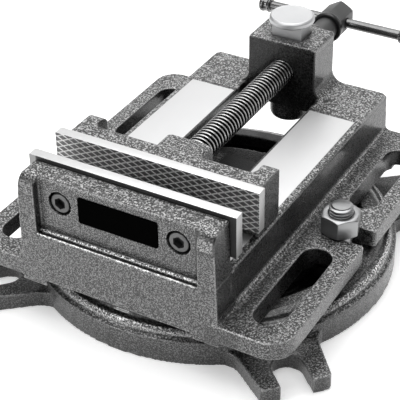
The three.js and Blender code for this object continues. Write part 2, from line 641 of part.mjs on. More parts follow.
const KEEPER_TOP = RAIL_BOTTOM - GAP - 0.1;
const KEEPER_BOTTOM = 46.4;
const KEEPER_BOLT_RADIUS = 4;
const KEEPER_HEAD_RADIUS = 7.5;
const KEEPER_HEAD_HEIGHT = 5.3;

function keeperPlate() {
  const outline = rectangle(-33, -51, 33, -25, 3);
  const holes = [-KEEPER_BOLT_X, KEEPER_BOLT_X].map((x) => cylinder(
    'Z', SCREW_HOLE_RADIUS, KEEPER_BOTTOM - PAST, KEEPER_TOP + PAST, [x, KEEPER_BOLT_Y], 24));
  return extrude('XY', outline, KEEPER_BOTTOM, KEEPER_TOP, 5).subtract(union(...holes));
}

function keeperBolt(x) {
  const headTop = KEEPER_BOTTOM - GAP;
  return union(
    hexagon('Z', KEEPER_HEAD_RADIUS, headTop - KEEPER_HEAD_HEIGHT, headTop,
      [x, KEEPER_BOLT_Y], ['low']),
    cylinder('Z', KEEPER_BOLT_RADIUS, headTop - 1, KEEPER_BOLT_TOP, [x, KEEPER_BOLT_Y], 24));
}

function retainingPin(x) {
  const bevel = 0.5;
  return turned([
    [0, PIN_LOW], [PIN_RADIUS - bevel, PIN_LOW], [PIN_RADIUS, PIN_LOW + bevel],
    [PIN_RADIUS, PIN_HIGH - bevel], [PIN_RADIUS - bevel, PIN_HIGH], [0, PIN_HIGH],
  ], 'Z', [x, PIN_Y, 0], 20);
}

// ---------------------------------------------------------------- lead screw and handle
const WASHER_FRONT_Y = BOSS_REAR_Y + GAP;
const WASHER_REAR_Y = WASHER_FRONT_Y + 2.5;
const GROOVE_HALF = PIN_RADIUS + 0.4;

function leadScrew() {
  const groove = PIN_X - PIN_RADIUS - 0.4;
  const bevel = 0.8;
  const shaft = turned([
    [0, JOURNAL_FRONT_Y], [JOURNAL_RADIUS - bevel, JOURNAL_FRONT_Y],
    [JOURNAL_RADIUS, JOURNAL_FRONT_Y + bevel],
    [JOURNAL_RADIUS, PIN_Y - GROOVE_HALF], [groove, PIN_Y - GROOVE_HALF],
    [groove, PIN_Y + GROOVE_HALF], [JOURNAL_RADIUS, PIN_Y + GROOVE_HALF],
    [JOURNAL_RADIUS, WASHER_REAR_Y + GAP], [SCREW_RADIUS, WASHER_REAR_Y + GAP],
    [SCREW_RADIUS, THREAD_END_Y - 1], [SHANK_RADIUS, THREAD_END_Y],
    [SHANK_RADIUS, HEAD_FRONT_Y + 1], [0, HEAD_FRONT_Y + 1],
  ], 'Y', [0, 0, SCREW_Z], 28);
  const head = hexagon('Y', HEAD_RADIUS, HEAD_FRONT_Y, HEAD_REAR_Y, [0, SCREW_Z],
    ['low', 'high'], Math.PI / 6);
  const barHole = cylinder(
    'X', BAR_RADIUS + 0.35, -HEAD_RADIUS - PAST, HEAD_RADIUS + PAST, [BAR_Y, SCREW_Z], 28);
  return union(shaft, head).subtract(barHole);
}

// A flat ring on the lead screw's axis.
function ring(inner, outer, front, rear, bevel) {
  return turned([
    [inner, front], [outer - bevel, front], [outer, front + bevel],
    [outer, rear - bevel], [outer - bevel, rear], [inner, rear], [inner, front],
  ], 'Y', [0, 0, SCREW_Z], 28);
}

function tommyBar() {
  return turned([
    [0, -BAR_END_X], [BAR_RADIUS - 0.4, -BAR_END_X], [BAR_RADIUS, -BAR_END_X + 0.4],
    [BAR_RADIUS, BAR_END_X - 0.4], [BAR_RADIUS - 0.4, BAR_END_X], [0, BAR_END_X],
  ], 'X', [0, BAR_Y, SCREW_Z], 24);
}

// Knob profile: [radius, distance from the knob's inner end].
const KNOB_INNER_X = 46.5;
const KNOB_PROFILE = [
  [4.3, 0], [5, 0.9], [4.6, 2.3], [4.6, 4.1], [5.1, 5.3], [5.1, 6.9], [4.1, 8.1], [2, 8.5], [0, 8.5],
];

function barKnob(side) {
  const bore = BAR_RADIUS + GAP;
  const outside = KNOB_PROFILE.map(([r, along]) => [r, KNOB_INNER_X + along]);
  const seat = BAR_END_X + GAP;
  const profile = [[bore, KNOB_INNER_X], ...outside, [0, seat], [bore, seat], [bore, KNOB_INNER_X]];
  const points = profile.map(([r, along]) => [r, side * along]);
  return turned(points, 'X', [0, BAR_Y, SCREW_Z], 20);
}

// ---------------------------------------------------------------- quick release
const STUD_RADIUS = 4;
const STUD_LENGTH = 6;

function releaseButton() {
  return turned([
    [0, BUTTON_BOTTOM - STUD_LENGTH], [STUD_RADIUS, BUTTON_BOTTOM - STUD_LENGTH],
    [STUD_RADIUS, BUTTON_BOTTOM], [BUTTON_RADIUS - 0.6, BUTTON_BOTTOM],
    [BUTTON_RADIUS, BUTTON_BOTTOM + 0.6], [BUTTON_RADIUS, BUTTON_TOP - 1.3],
    [BUTTON_RADIUS - 1.8, BUTTON_TOP], [0, BUTTON_TOP],
  ], 'Z', [0, NUT_Y, 0], 36);
}

function halfNut() {
  const top = BUTTON_BOTTOM - GAP;
  const body = block([-NUT_HALF_X, NUT_Y - NUT_HALF_Y, NUT_BOTTOM],
    [NUT_HALF_X, NUT_Y + NUT_HALF_Y, top]);
  const window = extrude(
    'XZ', stadium(0, SCREW_Z, SCREW_Z + BUTTON_TRAVEL + 0.4, SCREW_RADIUS + 0.36),
    NUT_Y - NUT_HALF_Y - PAST, NUT_Y + NUT_HALF_Y + PAST, 14);
  const studHole = cylinder(
    'Z', STUD_RADIUS + GAP, top - STUD_LENGTH - 0.6, top + PAST, [0, NUT_Y], 24);
  return body.subtract(window).subtract(studHole);
}

// The compression spring under the half nut, with closed ends.
function releaseSpring() {
  const wire = 0.65;
  const radius = 4.6;
  const low = SPRING_POCKET_FLOOR + wire + 0.1;
  const high = NUT_BOTTOM - wire - 0.1;
  const turns = 6;
  class Coil extends THREE.Curve {
    getPoint(t, target = new THREE.Vector3()) {
      const angle = 2 * Math.PI * turns * t;
      const rise = THREE.MathUtils.smootherstep(t, 0.06, 0.94) * 0.35 + t * 0.65;
      return target.set(
        radius * Math.cos(angle), NUT_Y + radius * Math.sin(angle), low + (high - low) * rise);
    }
  }
  const section = new THREE.Shape();
  for (let i = 0; i < 6; i += 1) {
    const angle = (i * Math.PI) / 3;
    const point = [wire * Math.cos(angle), wire * Math.sin(angle)];
    if (i === 0) section.moveTo(...point);
    else section.lineTo(...point);
  }
  section.closePath();
  return solid(new THREE.ExtrudeGeometry(
    section, { steps: turns * 12, bevelEnabled: false, extrudePath: new Coil() }));
}

// ---------------------------------------------------------------- swivel clamps
const HEAD_TOP = T_GROOVE_TOP - GAP;
const HEAD_HALF = 10.5;
const HEAD_HEIGHT = 7.9;
const CLAMP_NUT_LOW = FLANGE_TOP + GAP;
const CLAMP_NUT_HIGH = CLAMP_NUT_LOW + CLAMP_NUT_HEIGHT;
const CLAMP_NUT_TURN = { left: 0.1, right: -0.24 };  // radians

function clampBolt(x) {
  const head = block([x - HEAD_HALF, CLAMP_Y - HEAD_HALF, HEAD_TOP - HEAD_HEIGHT],
    [x + HEAD_HALF, CLAMP_Y + HEAD_HALF, HEAD_TOP]);
  const bevel = 1.2;
  const stud = turned([
    [0, HEAD_TOP - 1], [CLAMP_RADIUS, HEAD_TOP - 1], [CLAMP_RADIUS, CLAMP_TOP - bevel],
    [CLAMP_RADIUS - bevel, CLAMP_TOP], [0, CLAMP_TOP],
  ], 'Z', [x, CLAMP_Y, 0], 32);
  return union(head, stud);
}

function clampNut(x, angle) {
  const bore = CLAMP_RADIUS + GAP;
  const sink = 1.1;
  return hexagon('Z', CLAMP_NUT_RADIUS, CLAMP_NUT_LOW, CLAMP_NUT_HIGH, [x, CLAMP_Y],
    ['low', 'high'], angle)
    .subtract(cylinder('Z', bore, CLAMP_NUT_LOW - PAST, CLAMP_NUT_HIGH + PAST, [x, CLAMP_Y]))
    .subtract(turned([
      [0, CLAMP_NUT_HIGH - sink], [bore, CLAMP_NUT_HIGH - sink],
      [bore + sink, CLAMP_NUT_HIGH + GAP], [0, CLAMP_NUT_HIGH + GAP],
    ], 'Z', [x, CLAMP_Y, 0]));
}

// ---------------------------------------------------------------- assembly
const vise = new THREE.Group();
vise.name = 'machine_vise';

vise.add(toMesh('swivel_base', swivelBase(), hammertone));
vise.add(toMesh('body_casting', bodyCasting(), hammertone));
vise.add(toMesh('fixed_jaw_plate', jawPlate(FIXED_PLATE_Y, 1), groundSteel));
vise.add(toMesh('moving_jaw_plate', jawPlate(MOVING_PLATE_Y + PLATE_THICK, -1), groundSteel));
vise.add(toMesh('name_plate', namePlate(), blackPlate));
vise.add(toMesh('moving_jaw', movingJaw(), hammertone));
vise.add(toMesh('keeper_plate', keeperPlate(), darkSteel));
vise.add(toMesh('lead_screw', leadScrew(), blackOxide));
vise.add(toMesh('thrust_washer',
  ring(JOURNAL_RADIUS + GAP, SCREW_RADIUS, WASHER_FRONT_Y, WASHER_REAR_Y, 0.3), darkSteel));
vise.add(toMesh('stop_collar',
  ring(SHANK_RADIUS + GAP, HEAD_RADIUS + 0.2, HEAD_FRONT_Y - GAP - 4, HEAD_FRONT_Y - GAP, 0.6),
  blackOxide));
vise.add(toMesh('tommy_bar', tommyBar(), blackOxide));
vise.add(toMesh('release_button', releaseButton(), zincSteel));
vise.add(toMesh('half_nut', halfNut(), zincSteel));
vise.add(toMesh('release_spring', releaseSpring(), zincSteel));

for (const [side, sign] of [['left', -1], ['right', 1]]) {
  vise.add(toMesh(`fixed_jaw_screw_${side}`, socketScrew(
    sign * PLATE_SCREW_X, PLATE_SCREW_Z, PANEL_Y + GAP, 1, FIXED_PLATE_Y + 4.4), blackOxide));
  vise.add(toMesh(`moving_jaw_screw_${side}`, socketScrew(
    sign * PLATE_SCREW_X, PLATE_SCREW_Z, SLAB_REAR_Y - GAP, -1,
    MOVING_PLATE_Y + PLATE_THICK - 4.4), blackOxide));
  vise.add(toMesh(`keeper_bolt_${side}`, keeperBolt(sign * KEEPER_BOLT_X), zincSteel));
  vise.add(toMesh(`retaining_pin_${side}`, retainingPin(sign * PIN_X), darkSteel));
  vise.add(toMesh(`bar_knob_${side}`, barKnob(sign), blackOxide));
  vise.add(toMesh(`clamp_bolt_${side}`, clampBolt(sign * CLAMP_X), zincSteel));
  vise.add(toMesh(
    `clamp_nut_${side}`, clampNut(sign * CLAMP_X, CLAMP_NUT_TURN[side]), zincSteel));
}

export default vise;
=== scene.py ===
"""Looks for the machine vise: cast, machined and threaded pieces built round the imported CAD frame.

Lengths are metres; a number followed by * MM, and the tables that say so, are in millimetres.
"""
import math

import bmesh
import bpy
from mathutils import Matrix, Vector


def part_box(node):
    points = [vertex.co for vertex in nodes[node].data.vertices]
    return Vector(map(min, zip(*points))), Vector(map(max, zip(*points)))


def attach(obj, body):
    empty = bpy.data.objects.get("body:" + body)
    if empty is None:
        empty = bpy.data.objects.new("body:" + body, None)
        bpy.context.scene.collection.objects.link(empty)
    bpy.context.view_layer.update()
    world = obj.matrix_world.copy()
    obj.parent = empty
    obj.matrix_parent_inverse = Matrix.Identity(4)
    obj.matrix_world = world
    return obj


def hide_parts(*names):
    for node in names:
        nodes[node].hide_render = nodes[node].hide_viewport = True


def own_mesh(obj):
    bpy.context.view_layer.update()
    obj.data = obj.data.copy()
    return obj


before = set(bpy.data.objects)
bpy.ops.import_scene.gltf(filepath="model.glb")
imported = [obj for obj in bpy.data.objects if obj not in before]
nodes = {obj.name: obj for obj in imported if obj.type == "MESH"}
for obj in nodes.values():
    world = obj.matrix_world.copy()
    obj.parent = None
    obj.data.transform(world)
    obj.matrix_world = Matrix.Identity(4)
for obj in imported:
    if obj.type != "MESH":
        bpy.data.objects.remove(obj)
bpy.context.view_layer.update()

MM = 0.001
SIDES = (("left", -1), ("right", 1))

# Shading and edges.
GAP = 0.3 * MM                          # air between two turned pieces that meet
SMOOTH_DEGREES = 35                     # edges sharper than this stay hard, unless named below
HEX_SMOOTH, PLATE_SMOOTH, CAP_SMOOTH, BEVEL_SMOOTH, TURNED_SMOOTH = 20, 25, 30, 40, 50
CHAMFER_DEGREES = 30
HEX_SIDE_STEPS = 12

# The ground ways on the rails.
WAY_INNER, WAY_OUTER = 26.2 * MM, 56.2 * MM
WAY_REAR, WAY_TOP = 75.4 * MM, 63.05 * MM
WAY_THICKNESS, WAY_BEVEL = 1.2 * MM, 0.25 * MM
WAY_LAP = 0.1 * MM                      # how far they run on past the back of the fixed plate

# The castings: node, voxel and smoothing turns that give them a sand mould's soft edges.
CASTINGS = [("body_casting", 0.6 * MM, 1), ("swivel_base", 0.8 * MM, 2),
            ("moving_jaw", 0.5 * MM, 1)]

# The lead screw: 5/8 inch, eight threads to the inch.
SCREW_MAJOR, SCREW_MINOR, SCREW_PITCH = 7.94 * MM, 6.35 * MM, 3.175 * MM
SCREW_RUN_OUT = 2.5 * MM
SCREW_THREAD_END = 128 * MM
SCREW_CREST = (7.68 * MM, 7.93 * MM)    # radii between which the crests turn bright
SHANK_RADIUS = 7.6 * MM
JOURNAL_RADIUS, GROOVE_RADIUS = 5.5 * MM, 3.6 * MM
GROOVE_FRONT, GROOVE_REAR = -38.8 * MM, -33.2 * MM
HEAD_FLATS, HEAD_FACE_RADIUS = 17.32 * MM, 8.9 * MM
BAR_HOLE_RADIUS, BAR_HOLE_HALF = 3.6 * MM, 12 * MM

# A thread's tooth over one turn: end of the rise, start and end of the fall.
TOOTH_RISE, TOOTH_FALL, TOOTH_END = 0.27, 0.53, 0.8
ROWS_PER_TURN = 12

# The clamp bolts (M14) and their nuts.
STUD_MAJOR, STUD_MINOR, STUD_PITCH = 7 * MM, 5.75 * MM, 2.0 * MM
STUD_RUN_OUT, STUD_CHAMFER = 1.2 * MM, 0.9 * MM
BOLT_HEAD_HEIGHT = 7.9 * MM
NUT_FLATS, NUT_FACE_RADIUS, NUT_BORE = 20.96 * MM, 10.1 * MM, 7.4 * MM
NUT_TURN = {"left": 0.1, "right": -0.24}    # radians from +X to a corner

# The socket head screws of the jaw plates.
CAP_HEIGHT, CAP_SHANK_RADIUS, CAP_STEPS = 7.9 * MM, 3.97 * MM, 96
KNURL_DEPTH = 0.14 * MM
SOCKET_FLATS, SOCKET_FACE_RADIUS, SOCKET_DEPTH = 6.35 * MM, 3.6 * MM, 4 * MM

# The bar's knobs, the release and its spring.
KNOB_INNER = 46.5 * MM                  # from the bar's middle to a knob's inner face
KNOB_PROFILE = [(4.3, 0.0), (5.1, 0.9), (4.5, 2.3), (4.5, 4.1), (5.1, 5.2), (5.1, 6.9),
                (4.1, 8.1), (2.0, 8.5), (0.4, 8.5)]     # (radius, distance out) in mm
HALF_NUT_ROOM = 0.9 * MM                # kept free above the well's rounded floor
WIRE_RADIUS = 0.65 * MM
COIL_TURNS, COIL_SIDES, COIL_STEPS = 6, 10, 6 * 28
COIL_CLOSED = 0.06                      # part of the coil that climbs less at each end

# The backdrop: reach in front and behind, radius of the bend, height, half width.
STAGE_FRONT, STAGE_BACK = 2.2, 1.21
STAGE_BEND, STAGE_RISE, STAGE_HALF_WIDTH = 0.7, 1.6, 3
STAGE_BEND_STEPS = 12
FLOOR_DROP = 0.05 * MM

# Soft boxes: name, place, (width, height), watts. All point at LIGHT_TARGET.
LIGHT_TARGET = (0, 0, 0.05)
LIGHTS = [
    ("overhead", (-0.12, 0.15, 1.2), (1.5, 1.5), 22),
    ("rear_left", (-0.80, 1.35, 1.05), (1.3, 0.9), 2.4),
    ("front_spark", (-0.51, -0.93, 0.65), (0.13, 0.13), 2.2),
    ("front_low", (-0.45, -1.3, 0.13), (0.9, 0.2), 2.6),
]
WORLD_STRENGTH = 0.12

# The camera: place, azimuth, elevation and roll in degrees, lens and film width in mm.
CAMERA_PLACE = (0.3210, -0.5662, 0.4838)
CAMERA_DEGREES = (30.2316, 34.6827, -1.0535)
CAMERA_LENS, CAMERA_FILM = 120.24, 36
CAMERA_NEAR = 0.01

# Hammertone enamel: noise scales and (position, grey) ramps for faces that look up and for walls.
# The ramp for faces that look up is the lighter one: painted light from above, laid on the enamel's
# flecks.
FLECK_SCALE, FINE_SCALE = 1000, 1500
FLECK_RAMP = [(0.38, 0.003), (0.47, 0.026), (0.54, 0.11), (0.63, 0.47)]
WALL_RAMP = [(0.37, 0.004), (0.49, 0.05), (0.61, 0.25)]
# grey of the painted highlight along outer edges
EDGE_HIGHLIGHT_GREY = 0.6
EDGE_HIGHLIGHT_POINTINESS = (0.52, 0.57)           # from plain paint to a painted highlight on an outer edge
CORNER_POINTINESS = (0.42, 0.485)       # from painted shade in a corner to plain paint
# reach of the painted shade that darkens hollows and the faces under other parts
SHADE_REACH = 35 * MM


# ---------------------------------------------------------------- places read from the frame
def middle(node):
    low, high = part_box(node)
    return (low + high) / 2


SCREW_Z = middle("stop_collar").z


# ---------------------------------------------------------------- mesh helpers
def link(name, mesh):
    piece = bpy.data.objects.new(name, mesh)
    bpy.context.scene.collection.objects.link(piece)
    return piece


def smooth(piece, degrees=SMOOTH_DEGREES):
    for face in piece.data.polygons:
        face.use_smooth = True
    piece.data.set_sharp_from_angle(angle=math.radians(degrees))
    return piece


def outward(shape):
    """Makes a closed bmesh face outward."""
    bmesh.ops.recalc_face_normals(shape, faces=shape.faces)
    if shape.calc_volume(signed=True) < 0:
        bmesh.ops.reverse_faces(shape, faces=shape.faces)


def from_bmesh(name, shape, degrees=SMOOTH_DEGREES):
    outward(shape)
    mesh = bpy.data.meshes.new(name)
    shape.to_mesh(mesh)
    shape.free()
    return smooth(link(name, mesh), degrees)


def axis_point(axis, radius, along, angle, centre):
    """A point round an axis; angle runs by the right-hand rule."""
    c, s = radius * math.cos(angle), radius * math.sin(angle)
    offset = {"X": (along, c, s), "Y": (s, along, c), "Z": (c, s, along)}[axis]
    return centre + Vector(offset)


def rings(name, axis, centre, rows, steps, radius_at, degrees=SMOOTH_DEGREES, closed=False,
          first_angle=0.0):
    """A body of rings round an axis: radius_at(row, angle) -> (radius, along). The end rings are
    capped, or joined to each other where closed."""
    angles = [2 * math.pi * k / steps + first_angle for k in range(steps)]
    shape = bmesh.new()
    grid = [[shape.verts.new(axis_point(axis, *radius_at(row, angle), angle, centre))
             for angle in angles] for row in rows]
    for ring, after in zip(grid, grid[1:] + (grid[:1] if closed else [])):
        for k in range(steps):
            j = (k + 1) % steps
            shape.faces.new((ring[k], ring[j], after[j], after[k]))
    if not closed:
        shape.faces.new(list(reversed(grid[0])))
        shape.faces.new(grid[-1])
    return from_bmesh(name, shape, degrees)


def lathe(name, axis, centre, profile, steps, degrees=SMOOTH_DEGREES, closed=False):
    """Turns a profile of (radius, along) points; a closed one doesn't touch the axis."""
    return rings(name, axis, centre, profile, steps, lambda row, angle: row, degrees, closed)


def rounded(points, radius, steps=4):
    """Rounds the inner corners of an open profile of (radius, along) points."""
    result = [points[0]]
    for before, here, after in zip(points, points[1:], points[2:]):
        here, before, after = Vector(here), Vector(before), Vector(after)
        reach = min(radius, (before - here).length / 2.01, (after - here).length / 2.01)
        start = here + (before - here).normalized() * reach
        end = here + (after - here).normalized() * reach
        for k in range(steps + 1):
            t = k / steps
            result.append(tuple(start * (1 - t) ** 2 + here * 2 * t * (1 - t) + end * t ** 2))
    result.append(points[-1])
    return result


def hex_body(name, axis, centre, across_flats, low, high, face_radius, first_angle=0.0,
             bore=0.0, chamfered=True):
    """A hexagon, with or without a bore and turned 30-degree chamfers at both ends."""
    half = across_flats / 2
    slope = math.tan(math.radians(CHAMFER_DEGREES)) if chamfered else 0.0

    def at(row, angle):
        radius, along, inward = row
        if radius is None:
            radius = half / math.cos((angle - first_angle) % (math.pi / 3) - math.pi / 6)
            along += inward * max(0.0, radius - face_radius) * slope
        return radius, along

    face = face_radius * 0.97
    rows = [(face, low, 0), (None, low, 1), (None, high, -1), (face, high, 0)]
    if bore:
        rows = [(bore, low, 0), *rows, (bore, high, 0)]
    return rings(name, axis, centre, rows, 6 * HEX_SIDE_STEPS, at, HEX_SMOOTH, bool(bore),
                 first_angle)


def modified(piece, kind, **settings):
    modifier = piece.modifiers.new(kind.title(), kind)
    for key, value in settings.items():
        setattr(modifier, key, value)


def break_edges(piece, width, degrees):
    """Bevels the edges sharper than an angle."""
    modified(piece, "BEVEL", width=width, segments=2, limit_method="ANGLE",
             angle_limit=math.radians(degrees))


def settle(piece):
    """Applies a piece's modifiers to its mesh."""
    bpy.context.view_layer.update()
    graph = bpy.context.evaluated_depsgraph_get()
    mesh = bpy.data.meshes.new_from_object(piece.evaluated_get(graph))
    piece.modifiers.clear()
    piece.data = mesh


def cut(piece, cutter):
    modified(piece, "BOOLEAN", operation="DIFFERENCE", solver="EXACT", object=cutter)
    settle(piece)
    bpy.data.objects.remove(cutter)


def slab(name, low, high, bevel, segments=3):
    """A box with bevelled edges."""
    shape = bmesh.new()
    bmesh.ops.create_cube(shape, size=1)
    size = high - low
    bmesh.ops.transform(shape, verts=shape.verts, matrix=(
        Matrix.Translation((low + high) / 2) @ Matrix.Diagonal((*size, 1))))
    bmesh.ops.bevel(shape, geom=shape.edges, offset=bevel, segments=segments, profile=0.6,
                    affect="EDGES")
    return from_bmesh(name, shape, BEVEL_SMOOTH)


def node_copy(name, node):
    """A piece with a CAD node's shape, free to be worked on."""
    piece = link(name, nodes[node].data.copy())
    piece.data.materials.clear()
    return piece


# Painted light and shade on the castings' enamel: a gain below 1 paints shade, a gain above 1
# paints a highlight: (low, high, soft edge, gain), all in mm.
LIGHT_AND_SHADE_BOXES = [
    # painted shade on the screw block's front, its sides and the spring boss below it
    ((-27, 80, 40), (27, 88.4, 96.4), 0.6, 0.16),
    ((-31, 88, 67), (31, 136, 95), 3, 0.45),
    ((-14, 88, 38), (14, 116, 58), 1, 0.4),
    # painted shade in the well between the rails
    ((-25.5, -34, 0), (25.5, 86, 60), 2, 0.16),
    ((-34, 60, 0), (34, 125, 40), 2, 0.2),
    # painted shade on the rim of the deck behind the ways and in lines along the ways
    ((-50, 74.6, 62.4), (50, 77, 64.6), 0.7, 0.35),
    ((24.6, -60, 61.5), (26.6, 77, 63.8), 0.3, 0.35),
    ((-26.6, -60, 61.5), (-24.6, 77, 63.8), 0.3, 0.35),
    # painted shade on the sides of both jaws, the rail's wall and the flange beside it; a painted
    # highlight along the wall's foot
    ((58.6, -105.2, 62), (64, -30, 93.2), 0.6, 0.33),
    ((58.8, -105.2, 42), (63, 132, 61.6), 0.8, 0.22),
    ((60.2, -85, 38.9), (62.4, 110, 41.3), 0.5, 3.4),
    ((50, -110, 20), (76, 132, 39.4), 5, 0.55),
    # the flange's front edge: a painted highlight line, and a line of painted shade in front of it
    ((58, -107.8, 37.2), (98, -107.0, 39.0), 0.3, 0.35),
    ((58, -106.6, 37.0), (98, -105.0, 39.0), 0.4, 2.0),
    # painted shade on the base below its rim
    ((-160, -160, -1), (160, 160, 18), 1, 0.78),
    # painted shade on the walls of the flange's slots
    ((71, -93.5, 26), (90.4, -18.4, 37.5), 0.3, 0.3),
    ((71, 26.5, 26), (90.4, 96.6, 37.5), 0.3, 0.3),
    ((-90.4, -93.5, 26), (-71, -18.4, 37.5), 0.3, 0.3),
    ((-90.4, 26.5, 26), (-71, 96.6, 37.5), 0.3, 0.3),
    # painted shade on the flange's right front corner and its top face
    ((58, -110, 20), (120, -40, 39.4), 8, 0.84),
    ((62, -107, 37.4), (120, -40, 39.4), 0.8, 0.8),
    # the ledge under the panel: painted highlights on the lip and the foot, painted shade in the
    # groove and just above the foot
    ((-50, -106.4, 58.3), (50, -104.3, 60.2), 0.4, 3.4),
    ((-50.4, -104.3, 56), (50.4, -102.4, 59.6), 0.3, 0.2),
    ((-50, -102.6, 58.3), (50, -101.0, 60.3), 0.3, 5.0),
    ((-50, -101.5, 60.1), (50, -100.2, 61.2), 0.4, 0.3),
    # painted shade on the pocket's sides; at the panel's top edge a painted highlight line with a
    # line of painted shade beside it
    ((-50.9, -105.2, 60), (-49.4, -100.6, 91), 0.4, 0.15),
    ((46.4, -101.4, 61), (50.6, -100.0, 92), 0.4, 0.3),
    ((-50, -101.6, 92.2), (50, -100.5, 93.7), 0.4, 2.0),
    ((-50, -100.6, 93.2), (50, -99.9, 95), 0.3, 0.3),
    # painted highlights on the rounded shoulders either side of the panel, edged by lines of
    # painted shade
    ((50.9, -107, 83.6), (59.0, -103.2, 90.6), 0.5, 1.9),
    ((-59.0, -107, 83.6), (-50.9, -103.2, 90.6), 0.5, 1.3),
    ((50.2, -107, 82.2), (60.2, -104, 83.5), 0.4, 0.4),
    ((-60.2, -107, 82.2), (-50.2, -104, 83.5), 0.4, 0.4),
    ((58.9, -107, 82.5), (60.4, -101, 92), 0.4, 0.4),
    ((50, -104.6, 90.6), (60, -102.6, 92.6), 0.4, 0.4),
    ((-60, -104.6, 90.6), (-50, -102.6, 92.6), 0.4, 0.4),
]

# Rings on the base: painted shade under the body's edge and a painted highlight on the rim:
# (inner, outer, low, high, gain) in mm.
LIGHT_AND_SHADE_RINGS = [
    (96.0, 104.2, 20.0, 24.8, 0.45),
    (103.8, 107.0, 16.8, 20.8, 2.8),
]
RING_SOFT = 0.5

# The gripping faces carry two crossed sets of V grooves, measured from (SERRATION_X, SERRATION_Z).
SERRATION_ANGLE = math.radians(25.6)
SERRATION_PITCH = 3.25 * MM
SERRATION_HALF = 0.5 * MM
SERRATION_DEPTH = 0.3 * MM
SERRATION_STEP = 0.3 * MM
SERRATION_X, SERRATION_Z = 1.5 * MM, 71.2 * MM
WHOLE_TURNS = 100                       # added so that no fraction is taken of a negative number
PLATE_BEVEL = 0.35 * MM
DIAMOND_GREYS, GROOVE_GREY = (0.10, 0.19), 0.80
# END_GREY is painted shade on the plate ends that face +X
PLAIN_GREYS, END_GREY, BACK_GREYS = (0.62, 0.68), 0.42, (0.28, 0.04)
BACK_SHADE_FROM = -59.6 * MM            # painted shade: the plates' backs are dark to the right of this, over the casting


# ---------------------------------------------------------------- materials
class Shader:
    """A small helper to wire a Principled material."""

    def __init__(self, name):
        self.material = bpy.data.materials.new(name)
        self.material.use_nodes = True
        self.tree = self.material.node_tree
        self.principled = self.tree.nodes["Principled BSDF"]
        self.place = self.add("ShaderNodeTexCoord").outputs["Object"]

    def add(self, kind, **settings):
        node = self.tree.nodes.new(kind)
        for key, value in settings.items():
            setattr(node, key, value)
        return node

    def join(self, source, target):
        self.tree.links.new(source, target)

    def noise(self, scale, detail=2.0, rough=0.5, distortion=0.0, stretch=None):
        node = self.add("ShaderNodeTexNoise")
        node.inputs["Scale"].default_value = scale
        node.inputs["Detail"].default_value = detail
        node.inputs["Roughness"].default_value = rough
        node.inputs["Distortion"].default_value = distortion
        source = self.place
        if stretch:
            mapping = self.add("ShaderNodeMapping")
            mapping.inputs["Scale"].default_value = stretch
            self.join(source, mapping.inputs["Vector"])
            source = mapping.outputs["Vector"]
        self.join(source, node.inputs["Vector"])
        return node.outputs["Fac"]

    def ramp(self, factor, stops):
        node = self.add("ShaderNodeValToRGB")
        elements = node.color_ramp.elements
        while len(elements) < len(stops):
            elements.new(0.5)
        for element, (position, grey) in zip(elements, stops):
            element.position = position
            element.color = (grey, grey, grey, 1)
        self.join(factor, node.inputs["Fac"])
        return node.outputs["Color"]

    def scale(self, factor, low, high, start=0.0, end=1.0):
        node = self.add("ShaderNodeMapRange")
        node.inputs["From Min"].default_value = start
        node.inputs["From Max"].default_value = end
        node.inputs["To Min"].default_value = low
        node.inputs["To Max"].default_value = high
        self.join(factor, node.inputs["Value"])
        return node.outputs["Result"]

    def math(self, operation, *values):
        node = self.add("ShaderNodeMath", operation=operation)
        for socket, value in zip(node.inputs, values):
            if isinstance(value, (int, float)):
                socket.default_value = value
            else:
                self.join(value, socket)
        return node.outputs["Value"]

    def mix(self, factor, first, second):
        """Mixes two colours or greys."""
        node = self.add("ShaderNodeMix", data_type="RGBA")
        self.join(factor, node.inputs[0])
        for socket, value in ((node.inputs[6], first), (node.inputs[7], second)):
            if isinstance(value, (int, float)):
                socket.default_value = (value, value, value, 1)
            elif isinstance(value, tuple):
                socket.default_value = (*value, 1)
            else:
                self.join(value, socket)
        return node.outputs[2]

    def bump(self, height, distance, strength):
        node = self.add("ShaderNodeBump")
        node.inputs["Distance"].default_value = distance
        node.inputs["Strength"].default_value = strength
        self.join(height, node.inputs["Height"])
        self.join(node.outputs["Normal"], self.principled.inputs["Normal"])

    def set(self, **values):
        for key, value in values.items():
            socket = self.principled.inputs[key.replace("_", " ")]
            if hasattr(value, "links"):
                self.join(value, socket)
            elif isinstance(value, tuple):
                socket.default_value = (*value, 1)
            else:
                socket.default_value = value

    def split(self, vector):
        node = self.add("ShaderNodeSeparateXYZ")
        self.join(vector, node.inputs["Vector"])
        return [node.outputs[axis] for axis in "XYZ"]

    def distance(self, first, second):
        """The length of the vector that two coordinates make."""
        flat = self.add("ShaderNodeCombineXYZ")
        self.join(first, flat.inputs["X"])
        self.join(second, flat.inputs["Y"])
        length = self.add("ShaderNodeVectorMath", operation="LENGTH")
        self.join(flat.outputs["Vector"], length.inputs[0])
        return length.outputs["Value"]

    def region_gain(self, limits, soft, amount):
        """The amount where each (coordinate, low, high) of the limits (mm) holds, 1 elsewhere,
        eased over soft."""
        inside = None
        for coordinate, low, high in limits:
            half = (high - low) / 2
            off = self.math("ABSOLUTE", self.math("SUBTRACT", coordinate, (low + high) / 2 * MM))
            near = self.scale(off, 1.0, 0.0, (half - soft) * MM, half * MM)
            inside = near if inside is None else self.math("MULTIPLY", inside, near)
        return self.scale(inside, 1.0, amount)

    def facing_up(self):
        """1 on faces that look up, 0 on walls."""
        up = self.split(self.add("ShaderNodeTexCoord").outputs["Normal"])[2]
        return self.scale(up, 0.0, 1.0, 0.2, 0.85)


